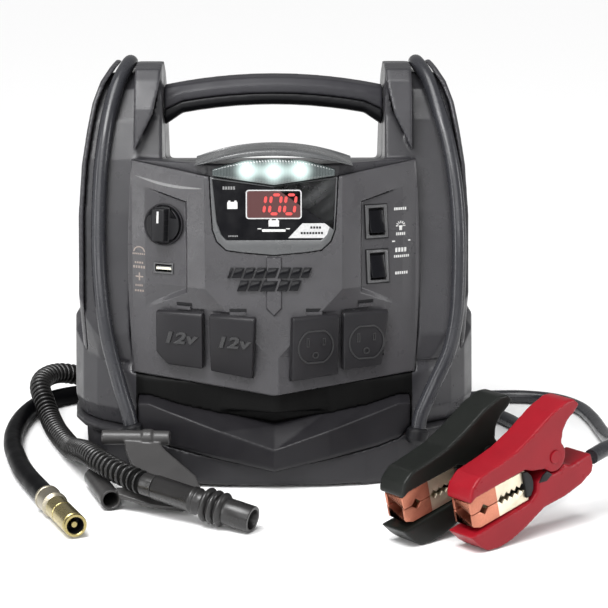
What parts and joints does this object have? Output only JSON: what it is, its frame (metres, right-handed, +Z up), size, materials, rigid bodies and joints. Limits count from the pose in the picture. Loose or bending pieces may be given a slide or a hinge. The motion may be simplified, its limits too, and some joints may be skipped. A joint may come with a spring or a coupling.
{
  "type": "jump starter pack",
  "caption": "Portable jump starter in a moulded case with handle, lamp, display, covered sockets, two battery clamps on stored leads, an air hose and an inflator hose.",
  "frame": {"origin": "centre of the case's footprint on the surface it stands on", "axes": "+Z up, the sloping front faces -Y, +X is to the right of a person facing the front"},
  "size_m": [0.4864, 0.465, 0.3108],
  "materials": {
    "case_plastic": "fine-grained moulded grey plastic, satin",
    "dark_plastic": "fine-grained dark grey plastic",
    "black_plastic": "fine-grained black plastic",
    "gloss_black": "polished black plastic",
    "black_rubber": "smooth flexible black jacket",
    "red_plastic": "moulded red plastic, semi-gloss",
    "clear_lens": "clear ribbed plastic",
    "circuit_board": "green solder mask",
    "copper_plate": "stamped copper-plated steel",
    "brass": "machined brass",
    "steel": "plain steel"
  },
  "bodies": {
    "case": {"base_tray": "case_plastic", "display_bezel": "case_plastic", "fascia_panel": "case_plastic", "front_shell": "case_plastic", "rear_shell": "case_plastic", "cable_guard_left": "case_plastic", "cable_guard_right": "case_plastic", "handle_bar": "case_plastic", "nozzle_adapter": "case_plastic", "front_bumper": "dark_plastic", "light_hood": "dark_plastic", "selector_dial_ring": "dark_plastic", "rotary_switch": "dark_plastic", "jump_switch_frame": "black_plastic", "inverter_switch_frame": "black_plastic", "dc_socket_left": "black_plastic", "dc_socket_right": "black_plastic", "ac_outlet_left": "black_plastic", "ac_outlet_right": "black_plastic", "charger_inlet": "black_plastic", "inflator_port": "black_plastic", "battery": "black_plastic", "inflator_blower": "black_plastic", "black_clamp_lower_jaw": "black_plastic", "inflator_coupling": "black_plastic", "handle_grip": "black_plastic", "gland_left": "black_plastic", "gland_right": "black_plastic", "display_window": "gloss_black", "jumper_lead_left": "black_rubber", "jumper_lead_right": "black_rubber", "air_hose": "black_rubber", "inflator_hose": "black_rubber", "red_clamp_lower_jaw": "red_plastic", "light_lens": "clear_lens", "light_board": "circuit_board", "control_board": "circuit_board", "inverter_board": "circuit_board", "black_clamp_lower_teeth": "copper_plate", "red_clamp_lower_teeth": "copper_plate", "air_port": "brass", "hose_ferrule": "brass", "usb_port": "steel", "air_compressor": "steel", "black_clamp_pin": "steel", "red_clamp_pin": "steel"},
    "knob": {"selector_knob": "black_plastic"},
    "jump_rocker": {"jump_switch_rocker": "gloss_black"},
    "inverter_rocker": {"inverter_switch_rocker": "gloss_black"},
    "dc_flap_left": {"dc_cover_left": "dark_plastic"},
    "dc_flap_right": {"dc_cover_right": "dark_plastic"},
    "ac_flap_left": {"ac_cover_left": "dark_plastic"},
    "ac_flap_right": {"ac_cover_right": "dark_plastic"},
    "black_upper_jaw": {"black_clamp_upper_jaw": "black_plastic", "black_clamp_upper_teeth": "copper_plate"},
    "red_upper_jaw": {"red_clamp_upper_jaw": "red_plastic", "red_clamp_upper_teeth": "copper_plate"},
    "fan": {"cooling_fan": "black_plastic"},
    "chuck": {"air_chuck": "brass"}
  },
  "joints": [
    {"name": "selector_turn", "type": "hinge", "parent": "case", "child": "knob", "pos_m": [-0.0803, -0.07507, 0.194], "axis": [-0.3458, -0.9319, 0.1092], "range_deg": [-90, 90]},
    {"name": "jump_switch", "type": "hinge", "parent": "case", "child": "jump_rocker", "pos_m": [0.07414, -0.07445, 0.19592], "axis": [0.938, 0.3466, 0], "range_deg": [0, 16]},
    {"name": "inverter_switch", "type": "hinge", "parent": "case", "child": "inverter_rocker", "pos_m": [0.07509, -0.0778, 0.16312], "axis": [0.9309, 0.3653, 0], "range_deg": [0, 16]},
    {"name": "dc_cover_left_hinge", "type": "hinge", "parent": "case", "child": "dc_flap_left", "pos_m": [-0.0688, -0.08911, 0.12864], "axis": [-0.9511, 0.309, 0], "range_deg": [0, 110]},
    {"name": "dc_cover_right_hinge", "type": "hinge", "parent": "case", "child": "dc_flap_right", "pos_m": [-0.02995, -0.10362, 0.12816], "axis": [-0.9511, 0.309, 0], "range_deg": [0, 110]},
    {"name": "ac_cover_left_hinge", "type": "hinge", "parent": "case", "child": "ac_flap_left", "pos_m": [0.02976, -0.1037, 0.12816], "axis": [-0.9511, -0.309, 0], "range_deg": [0, 110]},
    {"name": "ac_cover_right_hinge", "type": "hinge", "parent": "case", "child": "ac_flap_right", "pos_m": [0.06683, -0.08985, 0.12862], "axis": [-0.9511, -0.309, 0], "range_deg": [0, 110]},
    {"name": "black_clamp_open", "type": "hinge", "parent": "case", "child": "black_upper_jaw", "pos_m": [0.1403, -0.18906, 0.0553], "axis": [-0.6157, 0.788, 0], "range_deg": [0, 28], "stiffness_Nm_per_rad": 0.6, "springref_deg": -20.05},
    {"name": "red_clamp_open", "type": "hinge", "parent": "case", "child": "red_upper_jaw", "pos_m": [0.1848, -0.20206, 0.0553], "axis": [-0.6157, 0.788, 0], "range_deg": [0, 28], "stiffness_Nm_per_rad": 0.6, "springref_deg": -20.05},
    {"name": "fan_spin", "type": "hinge", "parent": "case", "child": "fan", "pos_m": [0, 0.072, 0.145], "axis": [0, 1, 0], "continuous": true},
    {"name": "chuck_spin", "type": "hinge", "parent": "case", "child": "chuck", "pos_m": [-0.1624, -0.1534, 0.0097], "axis": [0.375, -0.927, 0], "continuous": true}
  ]
}
